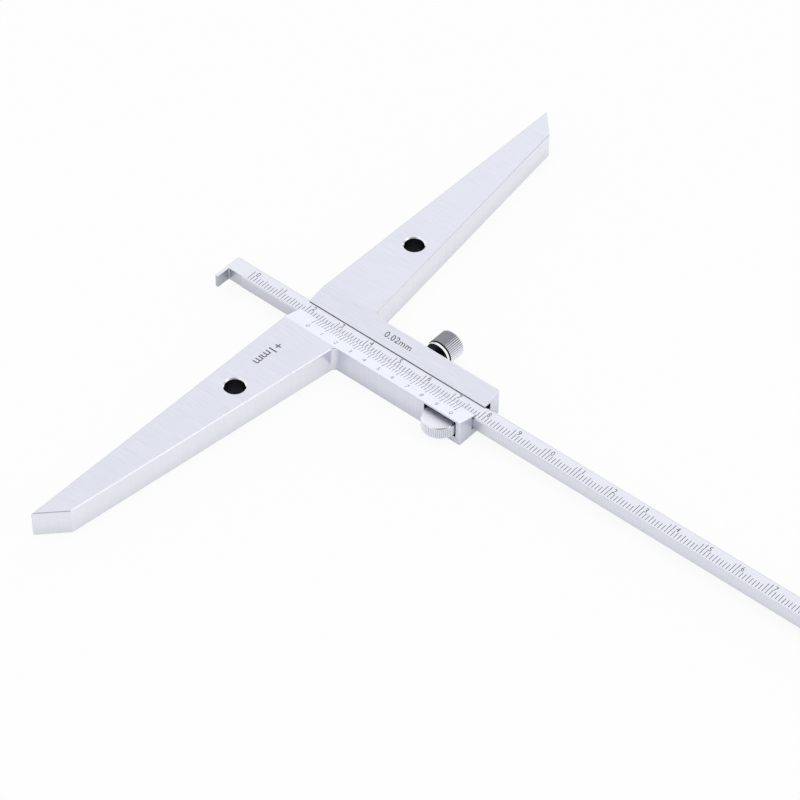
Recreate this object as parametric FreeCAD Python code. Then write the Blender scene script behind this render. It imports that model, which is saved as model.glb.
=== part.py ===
import FreeCAD, Part
import math
import os

# Hook depth gauge with a vernier, 0 to 200 mm, lying on its back with the scales up.
# X runs along the base, +Y along the beam towards the hook, +Z up.
# The origin is on the underside, on the beam's centre line, between the two holes of the base.
# Sizes are in millimetres. "Back" is a distance from the reference face towards the tail.

# Base: two tapered arms in one piece with the slider
base_length = 204.0
frame_thickness = 8.0
end_depth = 6.8
end_cut = 7.15
root_depth = 17.65
root_radius = 1.8
arm_chamfer = 0.25
hole_spacing = 71.4
hole_inset = 7.7
hole_diameter = 5.5
hole_chamfer = 0.4

# Slider
slider_width = 16.0
slider_length = 60.3
slider_corner_radius = 0.4
slope_blend_radius = 14.0

# Beam with its hook
beam_width = 5.6
beam_height = 4.0
near_bevel = 0.35
far_bevel_width = 0.7
far_bevel_drop = 0.45
bottom_chamfer = 0.2
hook_thickness = 1.0
hook_reach = 4.1
hook_corner_radius = 0.3
hook_tip_radius = 0.3
hook_edge_chamfer = 0.12
relief_length = 4.7
relief_depth = 0.3
rest_reading = 25.0
full_reading = 200.0
over_travel = 3.5
tail_margin = 5.0

# Channel in the slider that the beam runs in
running_fit = 0.05
channel_floor = 2.1
near_lip_cover = 1.1
near_lip_foot = 0.1
far_lip_cover = 0.15
far_lip_foot = 0.2
corner_groove = 0.45
spring_space = 1.5

# Bowed leaf that presses the beam against the near wall
leaf_thickness = 0.35
leaf_height = 3.4
leaf_half_length = 19.0
leaf_tab = 0.6
leaf_gap = 0.15

# Lock screw in the far wall
lock_tail_inset = 23.0
lock_height = 4.1
lock_thread_radius = 1.5
lock_tip_radius = 1.0
lock_tip_length = 1.0
lock_neck_radius = 1.2
lock_neck_length = 0.7
lock_standoff = 2.3
lock_rim_width = 0.7
lock_rim_radius = 3.65
lock_groove_width = 0.3
lock_groove_radius = 3.3
lock_head_radius = 3.9
lock_head_length = 5.6
lock_face_chamfer = 0.1
lock_head_chamfer = 0.4
lock_ridges = 44
thread_play = 0.02
tap_runout = 0.2

# Thumb wheel in the near wall, rolling on the beam's side
wheel_tail_inset = 7.0
wheel_radius = 4.9
wheel_thickness = 3.9
wheel_chamfer = 0.4
wheel_ridges = 58
ridge_depth = 0.2
pocket_floor = 1.95
pocket_gap = 0.25
pocket_tail_gap = 0.65
pocket_mouth_top = 7.35
wheel_lift = 0.15
axle_radius = 0.9
axle_top_gap = 0.2
wheel_cap = 0.9

# Plate under the slider that carries the wheel's axle
plate_thickness = 0.8
plate_recess = 0.9
plate_gap = 0.15
plate_end_radius = 2.2
plate_nose_radius = 1.7
plate_run = 14.5
plate_inset = 2.9
screw_pitch = 5.0
screw_radius = 1.0
screw_head_radius = 1.7
screw_head_height = 0.6
screw_length = 3.5
slot_width = 0.4
slot_depth = 0.3

# Stop screw under the beam's tail
stop_head_radius = 1.75
stop_head_height = 1.2
stop_screw_depth = 3.0

# Worked out from the sizes above
half_base = base_length / 2
half_slider = slider_width / 2
half_beam = beam_width / 2
beam_bottom = channel_floor + running_fit
beam_top = beam_bottom + beam_height
lip_under = beam_top + running_fit
near_wall = -(half_beam + running_fit)
far_wall = half_beam + spring_space
near_lip = -(half_beam - near_lip_cover)
near_lip_top = lip_under + near_lip_foot
far_lip = half_beam - far_bevel_width - far_lip_cover
far_lip_top = lip_under + far_lip_foot
hook_back = -rest_reading
stop_back = slider_length + full_reading - rest_reading + over_travel + stop_head_radius
beam_end_back = stop_back + tail_margin
lock_back = slider_length - lock_tail_inset
wheel_back = slider_length - wheel_tail_inset
wheel_x = -(half_beam + running_fit + wheel_radius)
wheel_bottom = pocket_floor + wheel_lift
wheel_top = wheel_bottom + wheel_thickness
overcut = 1.0
above = frame_thickness + overcut


def back(distance):
    """Y of a point that lies this far behind the reference face."""
    return hole_inset - distance


def block(x0, x1, y0, y1, z0, z1):
    """Box between two corners, given in any order."""
    low = [min(a, b) for a, b in ((x0, x1), (y0, y1), (z0, z1))]
    high = [max(a, b) for a, b in ((x0, x1), (y0, y1), (z0, z1))]
    return Part.makeBox(high[0] - low[0], high[1] - low[1], high[2] - low[2], FreeCAD.Vector(*low))


def plan_prism(points, z0, z1):
    """Outline in X and Y, raised from z0 to z1."""
    wire = Part.makePolygon([FreeCAD.Vector(x, y, z0) for x, y in points + points[:1]])
    return Part.Face(wire).extrude(FreeCAD.Vector(0, 0, z1 - z0))


def section_prism(points, y0, y1):
    """Cross-section in X and Z, run along the beam from y0 to y1."""
    wire = Part.makePolygon([FreeCAD.Vector(x, y0, z) for x, z in points + points[:1]])
    return Part.Face(wire).extrude(FreeCAD.Vector(0, y1 - y0, 0))


def turned(profile, place, axis):
    """Solid turned from (radius, height) points about an axis through place."""
    wire = Part.makePolygon([FreeCAD.Vector(r, 0, h) for r, h in profile + profile[:1]])
    solid = Part.Face(wire).revolve(FreeCAD.Vector(0, 0, 0), FreeCAD.Vector(0, 0, 1), 360)
    turn = FreeCAD.Rotation(FreeCAD.Vector(0, 0, 1), FreeCAD.Vector(*axis))
    solid.Placement = FreeCAD.Placement(FreeCAD.Vector(*place), turn)
    return solid


def rod(radius, place, axis, length):
    """Plain cylinder from place along axis."""
    return Part.makeCylinder(radius, length, FreeCAD.Vector(*place), FreeCAD.Vector(*axis))


def ridged(radius, depth, count, place, axis, length):
    """Straight knurl: V ridges round a cylinder, from place along axis."""
    step = math.pi / count
    rim = []
    for i in range(2 * count):
        reach = radius if i % 2 == 0 else radius - depth
        rim.append(FreeCAD.Vector(reach * math.cos(i * step), reach * math.sin(i * step), 0))
    solid = Part.Face(Part.makePolygon(rim + rim[:1])).extrude(FreeCAD.Vector(0, 0, length))
    turn = FreeCAD.Rotation(FreeCAD.Vector(0, 0, 1), FreeCAD.Vector(*axis))
    solid.Placement = FreeCAD.Placement(FreeCAD.Vector(*place), turn)
    return solid


def tapered_link(start, start_radius, end, end_radius, z0, z1):
    """Flat bar with round ends of two radii, its sides tangent to both."""
    run_x = end[0] - start[0]
    run_y = end[1] - start[1]
    run = math.hypot(run_x, run_y)
    heading = math.atan2(run_y, run_x)
    lean = math.acos((start_radius - end_radius) / run)
    corners = []
    for centre, radius, side in ((start, start_radius, 1), (end, end_radius, 1),
                                 (end, end_radius, -1), (start, start_radius, -1)):
        angle = heading + side * lean
        corners.append((centre[0] + radius * math.cos(angle), centre[1] + radius * math.sin(angle)))
    bar = plan_prism(corners, z0, z1)
    up = (0, 0, 1)
    bar = bar.fuse(rod(start_radius, (start[0], start[1], z0), up, z1 - z0))
    return bar.fuse(rod(end_radius, (end[0], end[1], z0), up, z1 - z0)).removeSplitter()


def arm_outline():
    """Wire round both arms: the reference face, the cut ends, the tapered backs and the root fillets."""
    rise = root_depth - end_depth
    span = half_base - end_cut - half_slider
    slope = math.atan2(rise, span)
    root_turn = math.pi / 2 - slope
    tangent = root_radius * math.tan(root_turn / 2)
    edges = []

    def point(x, distance):
        return FreeCAD.Vector(x, back(distance), 0)

    def side(sign):
        tip = point(sign * half_base, 0)
        cut = point(sign * (half_base - end_cut), end_depth)
        back_end = point(sign * (half_slider + tangent * math.cos(slope)),
                         root_depth - tangent * math.sin(slope))
        wall_end = point(sign * half_slider, root_depth + tangent)
        centre_x = half_slider + root_radius
        centre_back = root_depth + tangent
        half_turn = root_turn / 2
        middle = point(sign * (centre_x - root_radius * math.cos(half_turn)),
                       centre_back - root_radius * math.sin(half_turn))
        inner = point(sign * half_slider, root_depth + tangent + root_radius)
        return tip, cut, back_end, middle, wall_end, inner

    left = side(-1)
    right = side(1)
    for tip, cut, back_end, middle, wall_end, inner in (left, right):
        edges.append(Part.makeLine(tip, cut))
        edges.append(Part.makeLine(cut, back_end))
        edges.append(Part.Arc(back_end, middle, wall_end).toShape())
        edges.append(Part.makeLine(wall_end, inner))
    edges.append(Part.makeLine(left[5], right[5]))
    edges.append(Part.makeLine(left[0], right[0]))
    return Part.Wire(Part.__sortEdges__(edges)), left[5].y


def arms():
    """Both arms with their outer edges chamfered."""
    wire, closing_y = arm_outline()
    solid = Part.Face(wire).extrude(FreeCAD.Vector(0, 0, frame_thickness))
    outer = []
    for edge in solid.Edges:
        box = edge.BoundBox
        flat = box.ZLength < 1e-6
        closing = abs(box.YMin - closing_y) < 1e-6 and abs(box.YMax - closing_y) < 1e-6
        if flat and not closing:
            outer.append(edge)
    return solid.makeChamfer(arm_chamfer, outer)


def slider_body():
    """Block of the slider, with its two tail corners rounded."""
    solid = block(-half_slider, half_slider, back(0), back(slider_length), 0, frame_thickness)
    tail = [e for e in solid.Edges
            if e.BoundBox.ZLength > frame_thickness / 2 and abs(e.BoundBox.YMin - back(slider_length)) < 1e-6]
    return solid.makeFillet(slider_corner_radius, tail)


def channel_cut():
    """Space for the beam and the leaf, with the window between the two lips."""
    section = [(near_wall, channel_floor), (far_wall, channel_floor), (far_wall, lip_under),
               (far_lip, lip_under), (far_lip, above), (near_lip, above), (near_lip, lip_under),
               (near_wall, lip_under)]
    front = back(-overcut)
    tail = back(slider_length + overcut)
    cut = section_prism(section, front, tail)
    reach = near_wall - corner_groove
    for z in (channel_floor, lip_under - corner_groove):
        cut = cut.fuse(block(reach, near_wall, front, tail, z, z + corner_groove))
    return cut


def near_slope_cut():
    """Slope of the vernier, from its lip over the beam up to the outer wall."""
    section = [(near_lip, near_lip_top), (-half_slider, frame_thickness), (-half_slider, above),
               (near_lip, above)]
    return section_prism(section, back(-overcut), back(slider_length + overcut))


def far_slope_cut():
    """Slope beyond the beam, from its lip's foot, blended softly into the top of the base."""
    pitch = math.atan2(frame_thickness - far_lip_top, half_slider - far_lip)
    centre_x = half_slider + slope_blend_radius * math.tan(pitch / 2)
    centre_z = frame_thickness - slope_blend_radius
    y = back(-overcut)

    def on_arc(angle):
        return FreeCAD.Vector(centre_x - slope_blend_radius * math.sin(angle), y,
                              centre_z + slope_blend_radius * math.cos(angle))

    foot = FreeCAD.Vector(far_lip, y, far_lip_top)
    crest = FreeCAD.Vector(centre_x, y, above)
    corner = FreeCAD.Vector(far_lip, y, above)
    edges = [Part.makeLine(foot, on_arc(pitch)),
             Part.Arc(on_arc(pitch), on_arc(pitch / 2), on_arc(0)).toShape(),
             Part.makeLine(on_arc(0), crest), Part.makeLine(crest, corner), Part.makeLine(corner, foot)]
    return Part.Face(Part.Wire(edges)).extrude(FreeCAD.Vector(0, -(slider_length + 2 * overcut), 0))


def base_holes():
    """The two chamfered through holes of the base."""
    radius = hole_diameter / 2
    sink = radius + hole_chamfer
    profile = [(0, -overcut), (sink + overcut, -overcut), (radius, hole_chamfer),
               (radius, frame_thickness - hole_chamfer), (sink + overcut, above), (0, above)]
    holes = [turned(profile, (sign * hole_spacing / 2, 0, 0), (0, 0, 1)) for sign in (-1, 1)]
    return holes[0].fuse(holes[1])


def wheel_pocket():
    """Pocket for the thumb wheel: its roof rises with the slope above it."""
    front = back(wheel_back - wheel_radius - pocket_gap)
    tail = back(wheel_back + wheel_radius + pocket_tail_gap)
    inside = near_wall + overcut
    outside = -half_slider - overcut
    section = [(inside, pocket_floor), (inside, lip_under), (near_wall, lip_under),
               (-half_slider, pocket_mouth_top), (outside, pocket_mouth_top), (outside, pocket_floor)]
    pocket = section_prism(section, front, tail)
    notch = rod(axle_radius + plate_gap, (wheel_x, back(wheel_back), 0), (0, 0, 1), pocket_floor + overcut)
    return pocket.fuse(notch)


def plate_body(gap, z0, z1):
    """Bar along the slider with a nose out under the wheel's centre, widened all round by gap."""
    x = -half_slider + plate_inset
    elbow = (x, back(wheel_back))
    end_radius = plate_end_radius + gap
    bar = tapered_link((x, back(wheel_back - plate_run)), end_radius, elbow, end_radius, z0, z1)
    nose = tapered_link(elbow, end_radius, (wheel_x, back(wheel_back)), plate_nose_radius + gap, z0, z1)
    return bar.fuse(nose).removeSplitter()


def screw_places():
    """Where the plate's two screws stand."""
    x = -half_slider + plate_inset
    return [(x, back(wheel_back - plate_run + step)) for step in (0, screw_pitch)]


def plate_recess_cut():
    """Recess under the slider that the plate and its screws go into."""
    cut = plate_body(plate_gap, -overcut, plate_recess)
    hole_top = plate_recess - plate_thickness + screw_length + tap_runout
    for x, y in screw_places():
        cut = cut.fuse(rod(screw_radius + thread_play, (x, y, 0), (0, 0, 1), hole_top))
    return cut


def lock_hole():
    """Tapped hole of the lock screw, through the far wall."""
    start = (far_wall - running_fit, back(lock_back), lock_height)
    return rod(lock_thread_radius + thread_play, start, (1, 0, 0), half_slider - far_wall + overcut)


def leaf_pockets():
    """Two notches in the far wall that keep the leaf from sliding out with the beam."""
    cuts = []
    for sign in (-1, 1):
        end = lock_back + sign * leaf_half_length
        inner_end = end - sign * (leaf_thickness + leaf_gap)
        outer_end = end + sign * leaf_gap
        cuts.append(block(far_wall - running_fit, far_wall + leaf_tab + leaf_gap,
                          back(inner_end), back(outer_end),
                          channel_floor, channel_floor + leaf_height + 2 * leaf_gap))
    return cuts[0].fuse(cuts[1])


def make_frame():
    """Base and slider, machined from one piece of steel."""
    solid = arms().fuse(slider_body())
    for cut in (channel_cut(), near_slope_cut(), far_slope_cut(), base_holes(), wheel_pocket(),
                plate_recess_cut(), lock_hole(), leaf_pockets()):
        solid = solid.cut(cut)
    return solid.removeSplitter()


def make_beam():
    """Rule with the hook at its front end."""
    section = [(-half_beam, beam_bottom + bottom_chamfer), (-half_beam + bottom_chamfer, beam_bottom),
               (half_beam - bottom_chamfer, beam_bottom), (half_beam, beam_bottom + bottom_chamfer),
               (half_beam, beam_top - far_bevel_drop), (half_beam - far_bevel_width, beam_top),
               (-half_beam + near_bevel, beam_top), (-half_beam, beam_top - near_bevel)]
    front = back(hook_back - hook_thickness)
    bar = section_prism(section, front, back(beam_end_back))
    relief = block(-half_beam - overcut, -half_beam + relief_depth,
                   back(hook_back), back(hook_back + relief_length), beam_bottom - overcut, above)
    bar = bar.cut(relief)
    hook = block(-half_beam - hook_reach, 0, front, back(hook_back), beam_bottom, beam_top)
    tip = -half_beam - hook_reach
    upright = [e for e in hook.Edges
               if abs(e.BoundBox.XMax - tip) < 1e-6 and e.BoundBox.ZLength > beam_height / 2]
    hook = hook.makeFillet(hook_tip_radius, upright)
    level = [e for e in hook.Edges
             if e.BoundBox.XMin < tip + hook_tip_radius / 2 and e.BoundBox.ZLength < beam_height / 2]
    hook = hook.makeChamfer(hook_edge_chamfer, level)
    corner_x = -half_beam + relief_depth
    round_x = corner_x - hook_corner_radius
    round_y = back(hook_back + hook_corner_radius)
    web = block(round_x, corner_x, back(hook_back), round_y, beam_bottom, beam_top)
    web = web.cut(rod(hook_corner_radius, (round_x, round_y, 0), (0, 0, 1), above))
    bar = bar.fuse(hook).fuse(web)
    tap = rod(screw_radius + thread_play, (0, back(stop_back), 0), (0, 0, 1),
              beam_bottom + stop_screw_depth + tap_runout)
    return bar.cut(tap).removeSplitter()


def make_leaf():
    """Bowed spring leaf behind the beam, its two ends turned into the far wall."""
    near_face = half_beam + running_fit
    rise = far_wall - near_face - leaf_thickness
    radius = (leaf_half_length ** 2 + rise ** 2) / (2 * rise)
    sweep = math.asin(leaf_half_length / radius)
    centre = FreeCAD.Vector(near_face + leaf_thickness + radius, back(lock_back), channel_floor + leaf_gap)

    def on_leaf(angle, reach):
        return centre + FreeCAD.Vector(-reach * math.cos(angle), reach * math.sin(angle), 0)

    outer = radius + leaf_thickness
    inside = [on_leaf(a, radius) for a in (-sweep, 0, sweep)]
    outside = [on_leaf(a, outer) for a in (sweep, 0, -sweep)]
    edges = [Part.Arc(*inside).toShape(), Part.makeLine(inside[2], outside[0]),
             Part.Arc(*outside).toShape(), Part.makeLine(outside[2], inside[0])]
    leaf = Part.Face(Part.Wire(edges)).extrude(FreeCAD.Vector(0, 0, leaf_height))
    for sign in (-1, 1):
        end = lock_back + sign * leaf_half_length
        tab = block(far_wall - leaf_thickness, far_wall + leaf_tab,
                    back(end - sign * leaf_thickness), back(end), centre.z, centre.z + leaf_height)
        leaf = leaf.fuse(tab)
    return leaf.removeSplitter()


def make_lock_screw():
    """Knurled screw that presses the leaf on the beam."""
    tip_x = half_beam + running_fit + leaf_thickness + running_fit
    face_x = half_slider + lock_standoff
    rim_end = face_x + lock_rim_width
    knurl_start = rim_end + lock_groove_width
    knurl_end = knurl_start + lock_head_length
    knurl_middle = (knurl_start + knurl_end) / 2
    neck_x = face_x - lock_neck_length
    profile = [(0, tip_x), (lock_tip_radius, tip_x), (lock_tip_radius, tip_x + lock_tip_length),
               (lock_thread_radius, tip_x + lock_tip_length), (lock_thread_radius, neck_x),
               (lock_neck_radius, neck_x), (lock_neck_radius, face_x),
               (lock_rim_radius - lock_face_chamfer, face_x), (lock_rim_radius, face_x + lock_face_chamfer),
               (lock_rim_radius, rim_end), (lock_groove_radius, rim_end),
               (lock_groove_radius, knurl_middle), (0, knurl_middle)]
    place = (0, back(lock_back), lock_height)
    axis = (1, 0, 0)
    stem = turned(profile, place, axis)
    head = ridged(lock_head_radius, ridge_depth, lock_ridges, (knurl_start, place[1], place[2]),
                  axis, lock_head_length)
    slope = lock_head_radius - lock_head_chamfer
    blank = turned([(0, knurl_start), (lock_head_radius - lock_face_chamfer, knurl_start),
                    (lock_head_radius, knurl_start + lock_face_chamfer),
                    (lock_head_radius, knurl_end - lock_head_chamfer), (slope, knurl_end),
                    (0, knurl_end)], place, axis)
    return stem.fuse(head.common(blank)).removeSplitter()


def make_thumb_wheel():
    """Knurled wheel with a blind bore in its underside."""
    place = (wheel_x, back(wheel_back), wheel_bottom)
    up = (0, 0, 1)
    rim = ridged(wheel_radius, ridge_depth, wheel_ridges, place, up, wheel_thickness)
    slope = wheel_radius - wheel_chamfer
    blank = turned([(0, 0), (slope, 0), (wheel_radius, wheel_chamfer),
                    (wheel_radius, wheel_thickness - wheel_chamfer), (slope, wheel_thickness),
                    (0, wheel_thickness)], place, up)
    bore = rod(axle_radius + running_fit, place, up, wheel_thickness - wheel_cap)
    return rim.common(blank).cut(bore)


def make_axle():
    """Pin pressed in the plate, standing up into the wheel."""
    bottom = plate_recess - plate_thickness
    top = wheel_top - wheel_cap - axle_top_gap
    height = top - bottom
    profile = [(0, 0), (axle_radius, 0), (axle_radius, height - axle_top_gap),
               (axle_radius - axle_top_gap, height), (0, height)]
    return turned(profile, (wheel_x, back(wheel_back), bottom), (0, 0, 1))


def make_plate():
    """Flat plate let into the underside, carrying the wheel's axle."""
    bottom = plate_recess - plate_thickness
    solid = plate_body(0, bottom, plate_recess)
    solid = solid.cut(rod(axle_radius, (wheel_x, back(wheel_back), 0), (0, 0, 1), plate_recess + overcut))
    through = plate_thickness + overcut
    sink = [(0, 0), (screw_head_radius, 0), (screw_radius, screw_head_height), (screw_radius, through),
            (0, through)]
    for x, y in screw_places():
        solid = solid.cut(turned(sink, (x, y, bottom), (0, 0, 1)))
    return solid


def slotted(screw, x, y, z, radius):
    """Cuts a screwdriver slot upwards into a head whose outer face is at z."""
    half = slot_width / 2
    reach = radius + overcut
    return screw.cut(block(x - reach, x + reach, y - half, y + half, z - overcut, z + slot_depth))


def make_plate_screws():
    """The plate's two countersunk screws."""
    bottom = plate_recess - plate_thickness
    profile = [(0, 0), (screw_head_radius, 0), (screw_radius, screw_head_height),
               (screw_radius, screw_length), (0, screw_length)]
    screws = []
    for x, y in screw_places():
        screw = turned(profile, (x, y, bottom), (0, 0, 1))
        screws.append(slotted(screw, x, y, bottom, screw_head_radius))
    return Part.makeCompound(screws)


def make_stop_screw():
    """Screw under the tail that keeps the beam from being pulled out."""
    head = [(0, -stop_head_height), (stop_head_radius, -stop_head_height), (stop_head_radius, 0),
            (screw_radius, 0), (screw_radius, stop_screw_depth), (0, stop_screw_depth)]
    y = back(stop_back)
    screw = turned(head, (0, y, beam_bottom), (0, 0, 1))
    return slotted(screw, 0, y, beam_bottom - stop_head_height, stop_head_radius)


makers = {
    "frame": make_frame,
    "beam": make_beam,
    "gib_spring": make_leaf,
    "lock_screw": make_lock_screw,
    "thumb_wheel": make_thumb_wheel,
    "wheel_axle": make_axle,
    "axle_plate": make_plate,
    "plate_screws": make_plate_screws,
    "stop_screw": make_stop_screw,
}

os.makedirs("parts", exist_ok=True)
for name, make in makers.items():
    shape = make()
    shape.exportStep(f"parts/{name}.step")
    print(f"{name:14s} solids {len(shape.Solids)} valid {shape.isValid()} volume {shape.Volume:9.2f}")
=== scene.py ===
import bpy
import math
from mathutils import Matrix, Vector


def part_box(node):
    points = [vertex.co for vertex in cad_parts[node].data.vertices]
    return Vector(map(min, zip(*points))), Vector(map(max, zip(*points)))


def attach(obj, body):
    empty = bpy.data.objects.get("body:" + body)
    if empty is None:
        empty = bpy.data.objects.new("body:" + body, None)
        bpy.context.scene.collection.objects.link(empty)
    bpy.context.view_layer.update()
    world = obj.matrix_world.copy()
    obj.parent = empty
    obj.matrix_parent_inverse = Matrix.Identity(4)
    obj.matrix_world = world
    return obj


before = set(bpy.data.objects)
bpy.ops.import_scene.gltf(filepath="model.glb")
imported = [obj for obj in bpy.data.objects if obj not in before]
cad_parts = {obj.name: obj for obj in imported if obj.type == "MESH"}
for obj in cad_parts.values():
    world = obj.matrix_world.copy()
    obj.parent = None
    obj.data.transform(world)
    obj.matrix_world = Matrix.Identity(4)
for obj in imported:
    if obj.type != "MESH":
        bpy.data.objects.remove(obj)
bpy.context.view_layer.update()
mm = 0.001
print("frame loaded:", len(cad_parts), "CAD nodes")


# Shader helpers: maths on sockets reads as plain Python

class Wire:
    def __init__(self, shade, socket):
        self.shade = shade
        self.socket = socket

    def maths(self, operation, other=None, swap=False, clamp=False):
        values = [other, self] if swap else [self, other]
        inputs = {i: value for i, value in enumerate(values) if value is not None}
        return self.shade.node("ShaderNodeMath", {"operation": operation, "use_clamp": clamp}, inputs)

    def __add__(self, other):
        return self.maths("ADD", other)

    def __sub__(self, other):
        return self.maths("SUBTRACT", other)

    def __rsub__(self, other):
        return self.maths("SUBTRACT", other, swap=True)

    def __mul__(self, other):
        return self.maths("MULTIPLY", other)

    def __truediv__(self, other):
        return self.maths("DIVIDE", other)

    __radd__ = __add__

    def clamped(self):
        return self.maths("ADD", 0.0, clamp=True)

    def ramped(self, low, high):
        # 0 below low and 1 above high, straight between
        return ((self - low) / (high - low)).clamped()

    def above(self, level):
        return self.maths("GREATER_THAN", level)

    def below(self, level):
        return self.maths("LESS_THAN", level)

    def orMore(self, other):
        return self.maths("MAXIMUM", other)

    def size(self):
        return self.maths("ABSOLUTE")


class Shade:
    def __init__(self, tree):
        self.tree = tree
        self.tree.nodes.clear()

    def node(self, kind, settings=None, inputs=None, out=0):
        made = self.tree.nodes.new(kind)
        for key, value in (settings or {}).items():
            setattr(made, key, value)
        for key, value in (inputs or {}).items():
            if isinstance(value, Wire):
                self.tree.links.new(value.socket, made.inputs[key])
            else:
                made.inputs[key].default_value = value
        return Wire(self, made.outputs[out]) if made.outputs else None

    def coords(self, out="Object"):
        return self.node("ShaderNodeTexCoord", out=out)

    def parts(self, vector, out):
        return self.node("ShaderNodeSeparateXYZ", inputs={0: vector}, out=out)

    def facing(self, axis):
        return self.parts(self.coords("Normal"), axis)

    def place(self, axes="XYZ"):
        # where a point lies on the object along each of the axes, in millimetres
        return [self.parts(self.coords(), axis) / mm for axis in axes]

    def reach(self, first, second):
        # distance from an axis, from the two offsets square to it
        return (first * first + second * second).maths("SQRT")

    def grain(self, periods, detail=2.0, seed=0.0):
        # noise whose patches are as long as periods say, in millimetres along X, Y and Z
        scale = [1.0 / (period * mm) for period in periods]
        place = {"Vector": self.coords(), "Location": (seed, seed, seed), "Scale": scale}
        stretched = self.node("ShaderNodeMapping", inputs=place)
        noise = {"Vector": stretched, "Scale": 1.0, "Detail": detail}
        return self.node("ShaderNodeTexNoise", inputs=noise)

    def dot(self, first, second):
        product = {"operation": "DOT_PRODUCT"}
        return self.node("ShaderNodeVectorMath", product, {0: first, 1: second}, out="Value")

    def mixed(self, factor, first, second):
        return self.node("ShaderNodeMix", {"data_type": "RGBA"}, {0: factor, 6: first, 7: second}, out=2)

    def tinted(self, colour, share, look):
        return self.mixed(share, colour, (*look["colour"], 1.0))


# near-black that is mixed in as painted shade in corners, bores, the channel, the knurls and on the beam,
# where it also gives the sides a darker tone
paintedShadeAndToneLook = {"colour": (0.027, 0.029, 0.04), "rough": 0.5}
# the bright turned finish, also mixed in as painted highlights on edges and painted light on the arms' backs
polishAndPaintedLightLook = {"colour": (0.95, 0.955, 1.0), "rough": 0.12}
steelLook = {"flat": (0.55, 0.8), "sideWidth": 1.3, "patchRun": 2.5, "grainHeight": 0.002,
             "edgeTurn": (0.01, 0.1), "edgeSamples": 4, "cornerSamples": 6}


def steelTone(shade, look, grain):
    # the colour, streaked by the grain, a little cloudy, and darkened in the corners by painted shade
    patch = look["patch"]
    broad = shade.grain((patch, patch * steelLook["patchRun"], patch), detail=3.0, seed=5.0)
    tone = ((grain - 0.5) * look["streak"] + (broad - 0.5) * look["cloud"] + 0.5).clamped()
    colour = shade.mixed(tone, (*look["dark"], 1.0), (*look["light"], 1.0))
    openness = shade.node("ShaderNodeAmbientOcclusion", {"samples": steelLook["cornerSamples"]},
                          {"Distance": look["reach"] * mm}, out="AO")
    return shade.tinted(colour, (1 - openness) * look["corner"], paintedShadeAndToneLook)


def steel(name, look, paintedShadeAndTone=None, polishAndPaintedLight=None, edgeHighlightMask=None):
    # satin steel, whose grain runs along Y on the flats and along Z on the sides
    # the dark share mixed in at a place is painted shade, and on the beam partly a darker side tone; the
    # bright share is a turned surface, and painted light on the arms' backs; the last argument says where
    # worn edges are brightened, partly wear and partly a painted highlight
    material = bpy.data.materials.new(name)
    material.use_nodes = True
    shade = Shade(material.node_tree)
    flat = shade.facing("Z").size().ramped(*steelLook["flat"])
    width = look["grain"]
    sideWidth = width * steelLook["sideWidth"]
    flatGrain = shade.grain((width, width * look["run"], 1.0), seed=3.0)
    sideGrain = shade.grain((sideWidth, sideWidth, width * look["run"]), seed=8.0)
    grain = flatGrain * flat + sideGrain * (1 - flat)
    colour = steelTone(shade, look, grain)
    rough = (grain - 0.5) * look["roughSwing"] + look["rough"]
    worn = shade.node("ShaderNodeBevel", {"samples": steelLook["edgeSamples"]}, {"Radius": look["edge"] * mm})
    face = shade.node("ShaderNodeNewGeometry", out="Normal")
    # worn edges are brightened here, partly wear and partly a painted highlight
    edge = (1 - shade.dot(worn, face)).ramped(*steelLook["edgeTurn"]) * look["edgeHighlight"]
    if edgeHighlightMask:
        edge = edge * edgeHighlightMask(shade)
    colour = shade.tinted(colour, edge, polishAndPaintedLightLook)
    for finish, finishLook in ((polishAndPaintedLight, polishAndPaintedLightLook), (paintedShadeAndTone, paintedShadeAndToneLook)):
        if finish:
            share = finish(shade)
            colour = shade.tinted(colour, share, finishLook)
            rough = rough * (1 - share) + share * finishLook["rough"]
    relief = {"Strength": look["bump"], "Distance": steelLook["grainHeight"] * mm, "Height": grain,
              "Normal": worn}
    bump = shade.node("ShaderNodeBump", inputs=relief)
    finished = {"Base Color": colour, "Metallic": 1.0, "Roughness": rough, "Normal": bump}
    surface = shade.node("ShaderNodeBsdfPrincipled", inputs=finished)
    shade.node("ShaderNodeOutputMaterial", inputs={"Surface": surface})
    return material


# The frame's two sloped faces, each from its foot beside the beam to its crest at the outer wall
# skin is how far under the face the black of the channel begins
nearFace = {"foot": (-1.7, 6.3), "crest": (-8.0, 8.0), "skin": 0.09}
farFace = {"foot": (1.95, 6.4), "crest": (8.0, 8.0), "skin": 0.02}

holes = {"x": 35.7, "bore": 2.79, "rim": 3.2}
channel = {"wall": 7.9, "tail": -52.5, "front": 7.6, "bottom": 0.05, "roof": 7.45, "facing": -0.5,
           "farShare": 0.8}
pocket = {"mouth": -5.6, "front": -40.0, "floor": 5.9}


def underFace(x, z, face, side):
    # the places under one sloped face; side is 1 for the far face and -1 for the near one
    footX, footZ = face["foot"]
    crestX, crestZ = face["crest"]
    pitch = (crestZ - footZ) / abs(crestX - footX)
    return (z - footZ + face["skin"]).below((x - footX) * (side * pitch))


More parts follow.
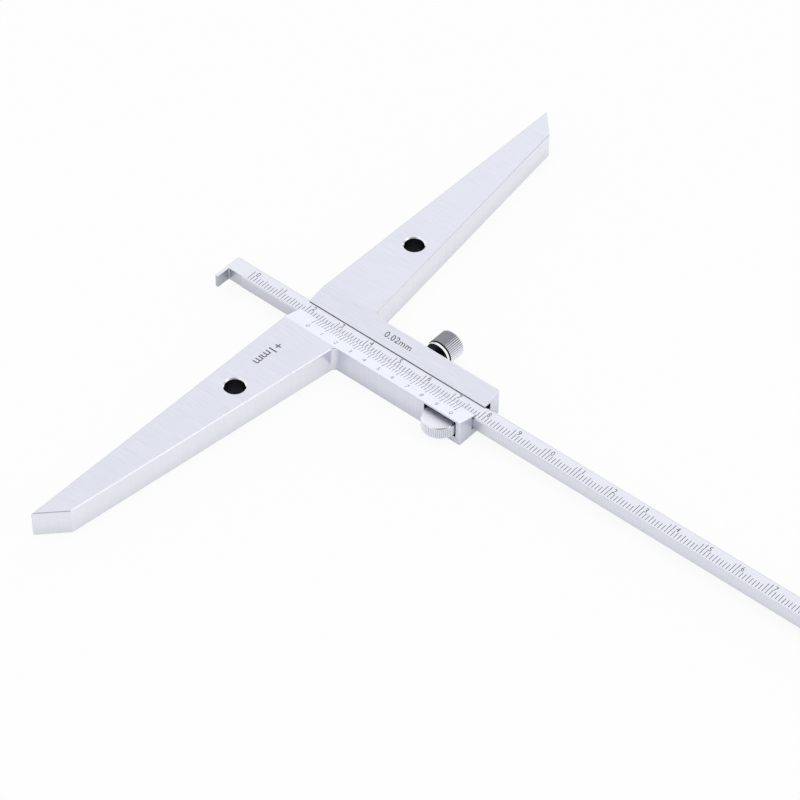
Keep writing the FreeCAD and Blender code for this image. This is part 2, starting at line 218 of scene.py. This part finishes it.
def dullInside(shade):
    # the bores and the beam's channel are painted black as shade, save the mouth of the wheel's pocket
    # and the faces turned to the tail
    x, y, z = shade.place()
    bore = shade.reach(x.size() - holes["x"], y).below(holes["bore"])
    notTailFace = shade.facing("Y").above(channel["facing"])
    within = x.size().below(channel["wall"]) * y.above(channel["tail"]) * y.below(channel["front"])
    within = within * z.above(channel["bottom"]) * z.below(channel["roof"]) * notTailFace
    middle = nearFace["foot"][0]
    near = underFace(x, z, nearFace, -1) * x.below(middle)
    far = underFace(x, z, farFace, 1) * x.above(middle) * channel["farShare"]
    mouth = x.below(pocket["mouth"]) * y.below(pocket["front"]) * z.above(pocket["floor"])
    return bore.orMore(within * near.orMore(far) * (1 - mouth))


armBacks = {"tail": -30.0, "turn": (0.5, 0.8), "share": 0.5}


def brightParts(shade):
    # the holes' chamfers are turned bright, and the arms' tapered backs, turned to the tail, are lightened
    # with painted light
    x, y = shade.place("XY")
    rims = shade.reach(x.size() - holes["x"], y).below(holes["rim"])
    backs = (shade.facing("Y") * -1.0).ramped(*armBacks["turn"]) * y.above(armBacks["tail"])
    return rims.orMore(backs * armBacks["share"])


window = {"outside": 3.7}


def outerEdges(shade):
    # the painted edge highlight is left off the edges of the beam's window
    x = shade.place("X")[0]
    return x.size().above(window["outside"])


# Looks of the steels, with lengths in millimetres
# dark and light are the ends of the colour, grain is a grinding streak's width and run its length in widths
# patch is the size of a cloud, and streak and cloud are how much each tints
# the corner share is how dark the painted shade in a corner is, reach how far that spreads, and edge the
# radius of a worn edge
groundLook = {"dark": (0.66, 0.675, 0.765), "light": (0.86, 0.875, 0.975), "grain": 0.28, "run": 26.0,
              "patch": 16.0, "streak": 0.8, "cloud": 0.1, "corner": 0.4, "reach": 5.0, "rough": 0.34,
              "roughSwing": 0.1, "edge": 0.22, "edgeHighlight": 0.9, "bump": 0.15}
groundSteel = steel("groundSteel", groundLook, paintedShadeAndTone=dullInside, polishAndPaintedLight=brightParts, edgeHighlightMask=outerEdges)


beamLook = {"dark": (0.77, 0.785, 0.875), "light": (0.85, 0.863, 0.95), "grain": 0.2, "run": 40.0,
            "patch": 20.0, "streak": 0.4, "cloud": 0.2, "corner": 0.4, "reach": 5.0, "rough": 0.3,
            "roughSwing": 0.08, "edge": 0.12, "edgeHighlight": 0.2, "bump": 0.12}
# side and brokenEdge give the darker tone, front and hook the painted shade on the sides, and line and bevel
# the painted shadow at the far lip
beamToneAndShade = {"side": (0.2, 0.5), "sideShare": 0.07, "front": (0.0, 12.0), "frontShadeShare": 0.16, "hook": 32.6,
            "hookShadeShare": 0.14, "brokenEdge": (0.6, 0.82), "edgeShare": 0.08, "bevel": 2.12,
            "underLipShadeShare": 0.08, "line": 0.06, "lipShadowShare": 0.12}


def beamSides(shade):
    # the beam's sides are a little darker than its flat faces and its broken edges duller; painted shade
    # darkens the sides from the slider forwards, most of all towards the hook, and a painted shadow lies on
    # the top along the far lip's foot and under the lip
    x, y = shade.place("XY")
    upright = shade.facing("Z").size()
    side = 1 - upright.ramped(*beamToneAndShade["side"])
    hook = y.above(beamToneAndShade["hook"]) * beamToneAndShade["hookShadeShare"]
    sideShare = y.ramped(*beamToneAndShade["front"]) * beamToneAndShade["frontShadeShare"] + hook + beamToneAndShade["sideShare"]
    brokenLow, brokenHigh = beamToneAndShade["brokenEdge"]
    broken = upright.above(brokenLow) * upright.below(brokenHigh) * beamToneAndShade["edgeShare"]
    line = (x - beamToneAndShade["bevel"]).size().below(beamToneAndShade["line"]) * beamToneAndShade["lipShadowShare"]
    bevel = x.above(beamToneAndShade["bevel"]) * beamToneAndShade["underLipShadeShare"]
    return side * sideShare + broken + upright.above(brokenHigh) * line.orMore(bevel)


beamSteel = steel("beamSteel", beamLook, paintedShadeAndTone=beamSides)


def ridgeShade(shade, first, second, alongFirst, alongSecond, ridges):
    # first and second are the offsets from the knurl's axis, the other two the normal's parts along them
    # the flank turned forwards, the one turned back and the valleys get their own shares of painted shade
    reach = shade.reach(first, second)
    turned = (alongSecond * first - alongFirst * second) / reach
    forwards = turned.ramped(*ridges["flank"]) * ridges["forwards"]
    backwards = (turned * -1.0).ramped(*ridges["flank"]) * ridges["backwards"]
    valleys = (1 - reach.ramped(ridges["valley"], ridges["crest"])) * ridges["depth"]
    return forwards.orMore(backwards).orMore(valleys) * reach.above(ridges["inside"])


lockLook = {"dark": (0.87, 0.885, 0.98), "light": (0.95, 0.96, 1.0), "grain": 0.2, "run": 12.0, "patch": 3.0,
            "streak": 0.6, "cloud": 0.4, "corner": 0.2, "reach": 2.0, "rough": 0.22, "roughSwing": 0.1,
            "edge": 0.04, "edgeHighlight": 0.0, "bump": 0.15}
lockPlace = {"y": -29.6, "z": 4.1, "face": 10.33, "rim": 11.0, "knurl": 11.42, "end": 16.45}
lockRidges = {"valley": 3.7, "crest": 3.81, "inside": 3.6, "flank": (0.1, 0.3), "forwards": 0.7,
              "backwards": 0.0, "depth": 0.7}


def lockOxide(shade):
    # painted shade darkens the back of the head, the neck, the groove behind the knurl and part of the knurl
    # itself
    x, y, z = shade.place()
    neck = x.below(lockPlace["face"])
    groove = x.above(lockPlace["rim"]) * x.below(lockPlace["knurl"])
    knurl = ridgeShade(shade, y - lockPlace["y"], z - lockPlace["z"], shade.facing("Y"), shade.facing("Z"),
                       lockRidges)
    knurl = knurl * x.above(lockPlace["knurl"]) * x.below(lockPlace["end"])
    return neck.orMore(groove).orMore(knurl)


def lockShine(shade):
    # the collar at the head's back is turned bright
    x = shade.place("X")[0]
    return x.above(lockPlace["face"]) * x.below(lockPlace["rim"])


lockSteel = steel("lockSteel", lockLook, paintedShadeAndTone=lockOxide, polishAndPaintedLight=lockShine)


wheelLook = {"dark": (0.86, 0.875, 0.97), "light": (0.93, 0.94, 1.0), "grain": 0.2, "run": 20.0, "patch": 3.0,
             "streak": 0.5, "cloud": 0.3, "corner": 0.0, "reach": 1.0, "rough": 0.45, "roughSwing": 0.1,
             "edge": 0.04, "edgeHighlight": 0.0, "bump": 0.15}
wheelPlace = {"x": -7.75, "y": -45.6, "bevel": 4.5, "low": 2.5, "high": 5.6}
wheelRidges = {"valley": 4.7, "crest": 4.81, "inside": 4.6, "flank": (0.1, 0.3), "forwards": 0.0,
               "backwards": 0.1, "depth": 0.42}


def wheelOxide(shade):
    # painted shade lies on the rim's knurl, between the two bevels
    x, y, z = shade.place()
    knurl = ridgeShade(shade, x - wheelPlace["x"], y - wheelPlace["y"], shade.facing("X"), shade.facing("Y"),
                       wheelRidges)
    return knurl * z.above(wheelPlace["low"]) * z.below(wheelPlace["high"])


def wheelBevels(shade):
    # the bevels above and below the knurl are turned bright
    x, y, z = shade.place()
    reach = shade.reach(x - wheelPlace["x"], y - wheelPlace["y"])
    rims = z.below(wheelPlace["low"]).orMore(z.above(wheelPlace["high"]))
    return reach.above(wheelPlace["bevel"]) * rims


wheelSteel = steel("wheelSteel", wheelLook, paintedShadeAndTone=wheelOxide, polishAndPaintedLight=wheelBevels)


springLook = {"dark": (0.36, 0.37, 0.4), "light": (0.5, 0.51, 0.55), "grain": 0.2, "run": 20.0, "patch": 5.0,
              "streak": 0.6, "cloud": 0.6, "corner": 0.2, "reach": 2.0, "rough": 0.35, "roughSwing": 0.1,
              "edge": 0.05, "edgeHighlight": 0.2, "bump": 0.2}
screwLook = {"dark": (0.42, 0.43, 0.47), "light": (0.6, 0.61, 0.66), "grain": 0.15, "run": 6.0, "patch": 2.0,
             "streak": 0.6, "cloud": 0.6, "corner": 0.2, "reach": 2.0, "rough": 0.28, "roughSwing": 0.1,
             "edge": 0.05, "edgeHighlight": 0.2, "bump": 0.2}
springSteel = steel("springSteel", springLook)
screwSteel = steel("screwSteel", screwLook)


etchLook = {"dark": (0.035, 0.037, 0.045), "worn": (0.09, 0.093, 0.11), "patch": 0.4, "wear": (0.3, 0.7),
            "rough": 0.6}


def etchedMaterial():
    material = bpy.data.materials.new("etchedLines")
    material.use_nodes = True
    shade = Shade(material.node_tree)
    wear = shade.grain([etchLook["patch"]] * 3, detail=3.0).ramped(*etchLook["wear"])
    colour = shade.mixed(wear, (*etchLook["dark"], 1.0), (*etchLook["worn"], 1.0))
    finished = {"Base Color": colour, "Roughness": etchLook["rough"]}
    surface = shade.node("ShaderNodeBsdfPrincipled", inputs=finished)
    shade.node("ShaderNodeOutputMaterial", inputs={"Surface": surface})
    return material


etched = etchedMaterial()

finishes = {
    "frame": groundSteel,
    "beam": beamSteel,
    "lock_screw": lockSteel,
    "thumb_wheel": wheelSteel,
    "gib_spring": springSteel,
    "axle_plate": springSteel,
    "wheel_axle": screwSteel,
    "plate_screws": screwSteel,
    "stop_screw": screwSteel,
}
for node, material in finishes.items():
    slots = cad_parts[node].data.materials
    slots.clear()
    slots.append(material)
print("materials made for", len(finishes), "CAD nodes")


# Graduations: each line is modelled once and repeated, then all lines of a face are joined

marks = {"depth": 0.02 * mm, "sunk": 0.012 * mm, "rounding": 0.3, "roundSteps": 2, "curveSteps": 3,
         "merge": 0.0001 * mm}


def deselect():
    bpy.ops.object.select_all(action="DESELECT")


def settle(piece):
    # moves the object's place and turn into its mesh
    deselect()
    piece.select_set(True)
    bpy.context.view_layer.objects.active = piece
    bpy.ops.object.transform_apply(location=True, rotation=True, scale=True)


def joined(pieces, name):
    deselect()
    for piece in pieces:
        piece.select_set(True)
    bpy.context.view_layer.objects.active = pieces[0]
    bpy.ops.object.join()
    pieces[0].name = name
    return pieces[0]


def blacken(piece):
    piece.data.materials.clear()
    piece.data.materials.append(etched)


def repeated(piece, step, count):
    # copies the piece count times towards the tail
    if count > 1:
        rows = piece.modifiers.new("rows", "ARRAY")
        rows.use_relative_offset = False
        rows.use_constant_offset = True
        rows.constant_offset_displace = (0, -step, 0)
        rows.count = count
        bpy.ops.object.modifier_apply(modifier="rows")


def engravedLine(length, width, depth):
    deselect()
    bpy.ops.mesh.primitive_plane_add(size=1.0)
    line = bpy.context.active_object
    line.scale = (length, width, 1.0)
    bpy.ops.object.transform_apply(scale=True)
    bpy.ops.object.mode_set(mode="EDIT")
    bpy.ops.mesh.select_all(action="SELECT")
    bpy.ops.mesh.bevel(offset=width * marks["rounding"], segments=marks["roundSteps"], affect="VERTICES")
    bpy.ops.mesh.extrude_region_move(TRANSFORM_OT_translate={"value": (0, 0, depth)})
    bpy.ops.mesh.select_all(action="SELECT")
    bpy.ops.mesh.normals_make_consistent(inside=False)
    bpy.ops.object.mode_set(mode="OBJECT")
    return line


def lineRow(near, length, start, repeats, width):
    # near is the X of the line's outer end; its other end lies towards +X
    line = engravedLine(length, width, marks["depth"])
    for step, count in repeats:
        repeated(line, step, count)
    line.location = (near + length / 2, start, -marks["sunk"])
    settle(line)
    return line


def lettering(words, size, place, turn, thin, spacing=1.0, squeeze=1.0, start=False):
    # place is the middle of the words, or with start the middle of their first edge
    deselect()
    bpy.ops.object.text_add()
    text = bpy.context.active_object
    text.data.body = words
    text.data.size = size
    text.data.extrude = marks["depth"] / 2
    text.data.offset = -thin
    text.data.resolution_u = marks["curveSteps"]
    text.data.space_character = spacing
    bpy.ops.object.convert(target="MESH")
    text.scale.x = squeeze
    bpy.ops.object.transform_apply(scale=True)
    bpy.ops.object.origin_set(type="ORIGIN_GEOMETRY", center="BOUNDS")
    bpy.ops.object.mode_set(mode="EDIT")
    bpy.ops.mesh.select_all(action="SELECT")
    bpy.ops.mesh.remove_doubles(threshold=marks["merge"])
    bpy.ops.mesh.normals_make_consistent(inside=False)
    bpy.ops.object.mode_set(mode="OBJECT")
    reach = text.dimensions.x / 2 if start else 0.0
    placeX, placeY = place
    text.rotation_euler = (0, 0, turn)
    text.location = (placeX + reach * math.cos(turn), placeY + reach * math.sin(turn),
                     marks["depth"] / 2 - marks["sunk"])
    settle(text)
    return text


readTowardsTail = -math.pi / 2
readFromBehind = math.pi
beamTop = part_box("beam")[1].z
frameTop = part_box("frame")[1].z

# Lines are short, half or long; numberGap is how far a number lies from its line towards the tail
mainScale = {"zeroY": 26.25 * mm, "centimetres": 25, "near": -2.2 * mm, "short": 2.1 * mm,
             "half": 2.55 * mm, "long": 3.3 * mm, "lineWidth": 0.165 * mm, "numberSize": 2.35 * mm,
             "numberX": 0.74 * mm, "numberGap": 0.95 * mm, "thin": 0.01 * mm, "spacing": 1.2, "squeeze": 0.9}


def makeMainScale():
    zero = mainScale["zeroY"]
    decades = mainScale["centimetres"]
    near = mainScale["near"]
    width = mainScale["lineWidth"]
    pieces = [
        lineRow(near, mainScale["short"], zero - 1 * mm, [(1 * mm, 4), (5 * mm, 2 * decades)], width),
        lineRow(near, mainScale["half"], zero - 5 * mm, [(10 * mm, decades)], width),
        lineRow(near, mainScale["long"], zero, [(10 * mm, decades + 1)], width),
    ]
    for number in range(decades + 1):
        place = (mainScale["numberX"], zero - number * 10 * mm - mainScale["numberGap"])
        pieces.append(lettering(str(number), mainScale["numberSize"], place, readTowardsTail,
                                mainScale["thin"], mainScale["spacing"], mainScale["squeeze"], start=True))
    scale = joined(pieces, "main_scale")
    scale.location.z = beamTop
    settle(scale)
    blacken(scale)
    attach(scale, "rule")


def layOn(piece, face):
    # lays a flat drawing on a sloped face, whose foot becomes the drawing's X 0
    footX, footZ = face["foot"]
    crestX, crestZ = face["crest"]
    side = 1.0 if crestX > footX else -1.0
    piece.rotation_euler = (0, -side * math.atan2(crestZ - footZ, abs(crestX - footX)), 0)
    piece.location = (footX * mm, 0, footZ * mm)
    settle(piece)


vernier = {"zeroY": 1.25 * mm, "division": 0.98 * mm, "longLines": 11, "near": -0.15 * mm,
           "short": 2.2 * mm, "long": 2.9 * mm, "lineWidth": 0.14 * mm, "numberSize": 2.1 * mm,
           "numberX": -4.65 * mm, "numberGap": 0.25 * mm, "thin": 0.028 * mm, "squeeze": 0.9}


def makeVernier():
    # fifty divisions, with a long line and a number at every fifth
    zero = vernier["zeroY"]
    step = vernier["division"]
    near = vernier["near"]
    width = vernier["lineWidth"]
    count = vernier["longLines"]
    short = vernier["short"]
    long = vernier["long"]
    pieces = [
        lineRow(near - short, short, zero - step, [(step, 4), (5 * step, count - 1)], width),
        lineRow(near - long, long, zero, [(5 * step, count)], width),
    ]
    for number in range(count):
        place = (vernier["numberX"], zero - number * 5 * step - vernier["numberGap"])
        pieces.append(lettering(str(number % 10), vernier["numberSize"], place, readTowardsTail,
                                vernier["thin"], squeeze=vernier["squeeze"]))
    scale = joined(pieces, "vernier_scale")
    layOn(scale, nearFace)
    blacken(scale)
    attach(scale, "base")


values = {"readingSize": 2.7 * mm, "readingPlace": (3.35 * mm, -20.6 * mm), "readingSpacing": 1.05,
          "hookSize": 3.9 * mm, "hookPlace": (-21.2 * mm, 1.45 * mm), "hookSpacing": 0.93, "thin": 0.0}


def makeValues():
    # the smallest reading, and the hook's thickness that a hooked reading leaves out
    reading = lettering("0.02mm", values["readingSize"], values["readingPlace"], readTowardsTail,
                        values["thin"], values["readingSpacing"])
    reading.name = "reading_value"
    layOn(reading, farFace)
    hook = lettering("+1mm", values["hookSize"], values["hookPlace"], readFromBehind,
                     values["thin"], values["hookSpacing"])
    hook.name = "hook_value"
    hook.location.z = frameTop
    settle(hook)
    for piece in (reading, hook):
        blacken(piece)
        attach(piece, "base")


makeMainScale()
makeVernier()
makeValues()
print("graduations made")


# Floor, light and camera

floorLook = {"size": 6.0, "drop": 0.1 * mm, "colour": (0.93, 0.93, 0.93, 1.0), "glow": (1.0, 1.0, 1.0, 1.0),
             "cameraShare": 0.9, "reflectedShare": 0.6}


def makeFloor():
    # white to the camera and in reflections, and paper to the light, so that the shadow stays
    deselect()
    bpy.ops.mesh.primitive_plane_add(size=floorLook["size"], location=(0, 0, -floorLook["drop"]))
    floor = bpy.context.active_object
    floor.name = "floor"
    material = bpy.data.materials.new("paleFloor")
    material.use_nodes = True
    shade = Shade(material.node_tree)
    paper = shade.node("ShaderNodeBsdfDiffuse", inputs={"Color": floorLook["colour"]})
    glow = shade.node("ShaderNodeEmission", inputs={"Color": floorLook["glow"], "Strength": 1.0})
    seen = shade.node("ShaderNodeLightPath", out="Is Camera Ray") * floorLook["cameraShare"]
    glossy = shade.node("ShaderNodeLightPath", out="Is Glossy Ray")
    through = shade.node("ShaderNodeLightPath", out="Is Transmission Ray")
    share = seen + (glossy + through) * floorLook["reflectedShare"]
    surface = shade.node("ShaderNodeMixShader", inputs={0: share, 1: paper, 2: glow})
    shade.node("ShaderNodeOutputMaterial", inputs={"Surface": surface})
    floor.data.materials.append(material)


# Sky: an even studio with soft lighter and darker areas
# towards is the direction and spread two angles in degrees: full within the first, gone beyond the second
skyLook = {"level": 0.97, "strength": 1.0}
skyAreas = [
    {"name": "darkCameraSide", "towards": (-0.45, -0.60, 0.66), "spread": (12, 45), "change": -0.6},
    {"name": "lowRight", "towards": (0.86, 0.45, 0.23), "spread": (8, 32), "change": 0.3},
    {"name": "leftAbove", "towards": (-0.71, 0.45, 0.54), "spread": (10, 38), "change": -0.12},
    {"name": "backRight", "towards": (0.46, -0.74, 0.49), "spread": (6, 20), "change": 0.25},
    {"name": "darkRight", "towards": (0.80, -0.50, 0.33), "spread": (6, 24), "change": -0.4},
    {"name": "darkLeft", "towards": (0.54, 0.84, 0.02), "spread": (10, 28), "change": -0.5},
]


def makeSky():
    world = bpy.data.worlds.new("studio")
    world.use_nodes = True
    bpy.context.scene.world = world
    shade = Shade(world.node_tree)
    view = shade.coords("Generated")
    level = skyLook["level"]
    for area in skyAreas:
        full, end = [math.cos(math.radians(angle)) for angle in area["spread"]]
        along = shade.dot(view, Vector(area["towards"]).normalized())
        level = level + along.ramped(end, full) * area["change"]
    surface = shade.node("ShaderNodeBackground", inputs={"Color": level, "Strength": skyLook["strength"]})
    shade.node("ShaderNodeOutputWorld", inputs={"Surface": surface})


# Softboxes: towards is the direction from the gauge, glow is how bright the cloth looks, where 1 is white
lamps = [
    {"name": "keySoftbox", "towards": (-0.45, 0.10, 0.89), "distance": 1.2, "side": 0.5, "glow": 1.45},
    {"name": "rimSoftbox", "towards": (0.22, -0.55, 0.80), "distance": 1.1, "side": 0.35, "glow": 1.4},
]


def makeLamps():
    for lamp in lamps:
        place = Vector(lamp["towards"]).normalized() * lamp["distance"]
        side = lamp["side"]
        bpy.ops.object.light_add(type="AREA", location=place)
        light = bpy.context.active_object
        light.name = lamp["name"]
        light.data.shape = "SQUARE"
        light.data.size = side
        light.data.energy = lamp["glow"] * math.pi * side * side
        light.rotation_euler = (-place).to_track_quat("-Z", "Y").to_euler()


# The camera, whose angles are in degrees and whose lens and sensor are in millimetres
photo = {"azimuth": -49.87, "elevation": 45.215, "roll": 0.66, "distance": 0.8872, "lens": 153.41,
         "sensor": 36.0, "clip": (0.01, 20.0), "target": (-5.55 * mm, -30.38 * mm, 0.0)}


def makeCamera():
    bpy.ops.object.camera_add()
    camera = bpy.context.active_object
    camera.name = "camera"
    camera.data.sensor_width = photo["sensor"]
    camera.data.lens = photo["lens"]
    camera.data.clip_start, camera.data.clip_end = photo["clip"]
    turn = Matrix.Rotation(math.radians(photo["azimuth"]), 4, "Z")
    tilt = Matrix.Rotation(math.radians(90.0 - photo["elevation"]), 4, "X")
    roll = Matrix.Rotation(math.radians(photo["roll"]), 4, "Z")
    away = Matrix.Translation((0, 0, photo["distance"]))
    camera.matrix_world = Matrix.Translation(photo["target"]) @ turn @ tilt @ away @ roll
    bpy.context.scene.camera = camera


makeFloor()
makeSky()
makeLamps()
makeCamera()
bpy.context.scene.view_settings.view_transform = "Standard"
print("stage, light and camera set")
